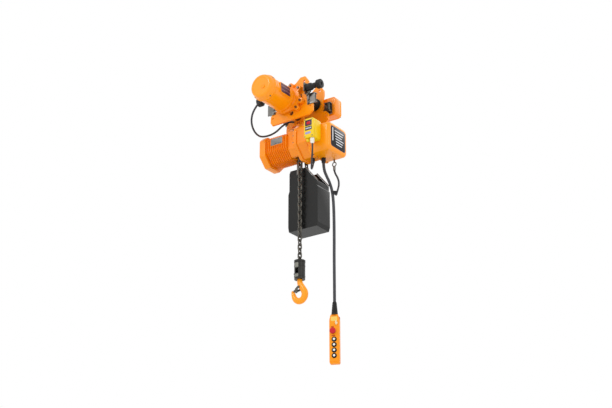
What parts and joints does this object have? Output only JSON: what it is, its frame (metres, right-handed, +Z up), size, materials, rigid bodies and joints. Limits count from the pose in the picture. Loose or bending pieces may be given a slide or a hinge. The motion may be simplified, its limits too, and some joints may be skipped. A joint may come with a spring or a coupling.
{
  "type": "chain hoist",
  "caption": "Electric chain hoist hung from a motor-driven beam trolley, with hook, chain bucket, load limiter box and push-button pendant.",
  "frame": {"origin": "centre of the beam at the level of the wheel treads, which is the top of the lower flange", "axes": "+X along the beam, +Y across it away from the travel motor, +Z up"},
  "size_m": [0.392, 0.423, 1.39],
  "materials": {
    "orange_enamel": "satin",
    "yellow_case": "gloss",
    "black_rubber": "matte",
    "black_plastic": "matte",
    "black_steel": "satin",
    "zinc": "satin",
    "machined_steel": "satin",
    "cast_iron": "matte",
    "pendant_orange": "satin",
    "red_plastic": "gloss",
    "white_nylon": "satin",
    "cable_jacket": "satin"
  },
  "bodies": {
    "hoist_frame": {"near_side_plate": "orange_enamel", "far_side_plate": "orange_enamel", "suspension_shaft": "machined_steel", "shaft_spacers": "black_steel", "wheel_axles": "machined_steel", "roller_brackets": "zinc", "bumpers": "black_rubber", "bumper_brackets": "black_steel", "drive_gear_casing": "orange_enamel", "drive_motor_shell": "orange_enamel", "drive_motor_cap": "orange_enamel", "travel_control_box": "orange_enamel", "travel_control_lid": "orange_enamel", "casing_bolts": "zinc", "suspension_lug": "orange_enamel", "gear_case": "orange_enamel", "gear_case_cover": "orange_enamel", "sheave_housing": "orange_enamel", "motor_housing": "orange_enamel", "fan_cover": "orange_enamel", "control_cover": "orange_enamel", "motor_stator": "cast_iron", "contactor_panel": "black_plastic", "limiter_box": "yellow_case", "cable_glands": "white_nylon", "chain_container": "black_plastic", "container_hanger": "zinc", "slack_chain": "black_steel", "rope_clip": "zinc", "pendant_case": "pendant_orange", "pendant_boot": "black_rubber", "trolley_cable": "cable_jacket", "limiter_cable": "cable_jacket", "pendant_cable": "cable_jacket", "strain_rope": "cable_jacket"},
    "wheel_near_left": {"wheel_near_left": "cast_iron"},
    "wheel_near_right": {"wheel_near_right": "cast_iron"},
    "wheel_far_left": {"wheel_far_left": "cast_iron"},
    "wheel_far_right": {"wheel_far_right": "cast_iron"},
    "drive_rotor": {"drive_rotor": "machined_steel"},
    "drive_pinion": {"drive_pinion": "machined_steel"},
    "guide_roller_near_left": {"guide_roller_near_left": "black_steel"},
    "guide_roller_near_right": {"guide_roller_near_right": "black_steel"},
    "guide_roller_far_left": {"guide_roller_far_left": "black_steel"},
    "guide_roller_far_right": {"guide_roller_far_right": "black_steel"},
    "hoist_rotor": {"motor_rotor": "machined_steel", "brake_and_fan": "black_plastic"},
    "intermediate_shaft": {"intermediate_gear": "machined_steel"},
    "load_sheave": {"load_sheave": "machined_steel"},
    "hook_block": {"load_chain": "black_steel", "hook_block": "black_steel", "block_pins": "black_steel"},
    "hook": {"load_hook": "orange_enamel"},
    "latch": {"hook_latch": "black_steel"},
    "push_button_1": {"push_button_1": "white_nylon"},
    "push_button_2": {"push_button_2": "white_nylon"},
    "push_button_3": {"push_button_3": "white_nylon"},
    "push_button_4": {"push_button_4": "white_nylon"},
    "emergency_stop": {"emergency_stop": "red_plastic"},
    "key_switch": {"key_switch": "white_nylon"}
  },
  "joints": [
    {"name": "drive_rotor_spin", "type": "hinge", "parent": "hoist_frame", "child": "drive_rotor", "pos_m": [-0.026, 0, 0.014], "axis": [0, 1, 0], "continuous": true},
    {"name": "drive_pinion_spin", "type": "hinge", "parent": "hoist_frame", "child": "drive_pinion", "pos_m": [0, 0, 0.012], "axis": [0, 1, 0], "continuous": true},
    {"name": "wheel_near_left_spin", "type": "hinge", "parent": "hoist_frame", "child": "wheel_near_left", "pos_m": [-0.0506, -0.04, 0.024], "axis": [0, 1, 0], "continuous": true},
    {"name": "wheel_near_right_spin", "type": "hinge", "parent": "hoist_frame", "child": "wheel_near_right", "pos_m": [0.0506, -0.04, 0.024], "axis": [0, 1, 0], "continuous": true},
    {"name": "wheel_far_left_spin", "type": "hinge", "parent": "hoist_frame", "child": "wheel_far_left", "pos_m": [-0.0506, 0.04, 0.024], "axis": [0, 1, 0], "continuous": true},
    {"name": "wheel_far_right_spin", "type": "hinge", "parent": "hoist_frame", "child": "wheel_far_right", "pos_m": [0.0506, 0.04, 0.024], "axis": [0, 1, 0], "continuous": true},
    {"name": "guide_roller_near_left_spin", "type": "hinge", "parent": "hoist_frame", "child": "guide_roller_near_left", "pos_m": [-0.124, -0.0592, 0], "axis": [0, 0, 1], "continuous": true},
    {"name": "guide_roller_near_right_spin", "type": "hinge", "parent": "hoist_frame", "child": "guide_roller_near_right", "pos_m": [0.124, -0.0592, 0], "axis": [0, 0, 1], "continuous": true},
    {"name": "guide_roller_far_left_spin", "type": "hinge", "parent": "hoist_frame", "child": "guide_roller_far_left", "pos_m": [-0.124, 0.0592, 0], "axis": [0, 0, 1], "continuous": true},
    {"name": "guide_roller_far_right_spin", "type": "hinge", "parent": "hoist_frame", "child": "guide_roller_far_right", "pos_m": [0.124, 0.0592, 0], "axis": [0, 0, 1], "continuous": true},
    {"name": "hoist_rotor_spin", "type": "hinge", "parent": "hoist_frame", "child": "hoist_rotor", "pos_m": [0, 0.027, -0.2], "axis": [1, 0, 0], "range_deg": [-4260, 12080]},
    {"name": "intermediate_spin", "type": "hinge", "parent": "hoist_frame", "child": "intermediate_shaft", "pos_m": [0, -0.01652, -0.17064], "axis": [1, 0, 0], "range_deg": [-1825, 650]},
    {"name": "sheave_spin", "type": "hinge", "parent": "hoist_frame", "child": "load_sheave", "pos_m": [0, 0.027, -0.2], "axis": [1, 0, 0], "range_deg": [-130, 370]},
    {"name": "hook_lift", "type": "slide", "parent": "hoist_frame", "child": "hook_block", "axis": [0, 0, 1], "range_m": [-0.175, 0.062]},
    {"name": "hook_swivel", "type": "hinge", "parent": "hook_block", "child": "hook", "pos_m": [0, 0, -0.85], "axis": [0, 0, 1], "continuous": true},
    {"name": "latch_pivot", "type": "hinge", "parent": "hook", "child": "latch", "pos_m": [0.002, 0, -0.897], "axis": [0, 1, 0], "range_deg": [-50, 0], "stiffness_Nm_per_rad": 0.03, "springref_deg": 34.38},
    {"name": "push_button_1_press", "type": "slide", "parent": "hoist_frame", "child": "push_button_1", "axis": [-0.4067, 0.9135, 0], "range_m": [0, 0.003], "stiffness_N_per_m": 400, "springref_m": -0.002},
    {"name": "push_button_2_press", "type": "slide", "parent": "hoist_frame", "child": "push_button_2", "axis": [-0.4067, 0.9135, 0], "range_m": [0, 0.003], "stiffness_N_per_m": 400, "springref_m": -0.002},
    {"name": "push_button_3_press", "type": "slide", "parent": "hoist_frame", "child": "push_button_3", "axis": [-0.4067, 0.9135, 0], "range_m": [0, 0.003], "stiffness_N_per_m": 400, "springref_m": -0.002},
    {"name": "push_button_4_press", "type": "slide", "parent": "hoist_frame", "child": "push_button_4", "axis": [-0.4067, 0.9135, 0], "range_m": [0, 0.003], "stiffness_N_per_m": 400, "springref_m": -0.002},
    {"name": "emergency_stop_press", "type": "slide", "parent": "hoist_frame", "child": "emergency_stop", "axis": [-0.4067, 0.9135, 0], "range_m": [0, 0.004]},
    {"name": "key_switch_turn", "type": "hinge", "parent": "hoist_frame", "child": "key_switch", "pos_m": [0.16514, 0.05307, -1.086], "axis": [-0.4067, 0.9135, 0], "range_deg": [0, 90]}
  ],
  "couplings": [
    {"joint": "drive_pinion_spin", "follows": "drive_rotor_spin", "ratio": -0.3},
    {"joint": "wheel_near_left_spin", "follows": "drive_rotor_spin", "ratio": 0.11053},
    {"joint": "wheel_near_right_spin", "follows": "drive_rotor_spin", "ratio": 0.11053},
    {"joint": "intermediate_spin", "follows": "hoist_rotor_spin", "ratio": -0.15068},
    {"joint": "sheave_spin", "follows": "hoist_rotor_spin", "ratio": 0.030137},
    {"joint": "hook_lift", "follows": "hoist_rotor_spin", "m_per_rad": -0.0008137}
  ]
}
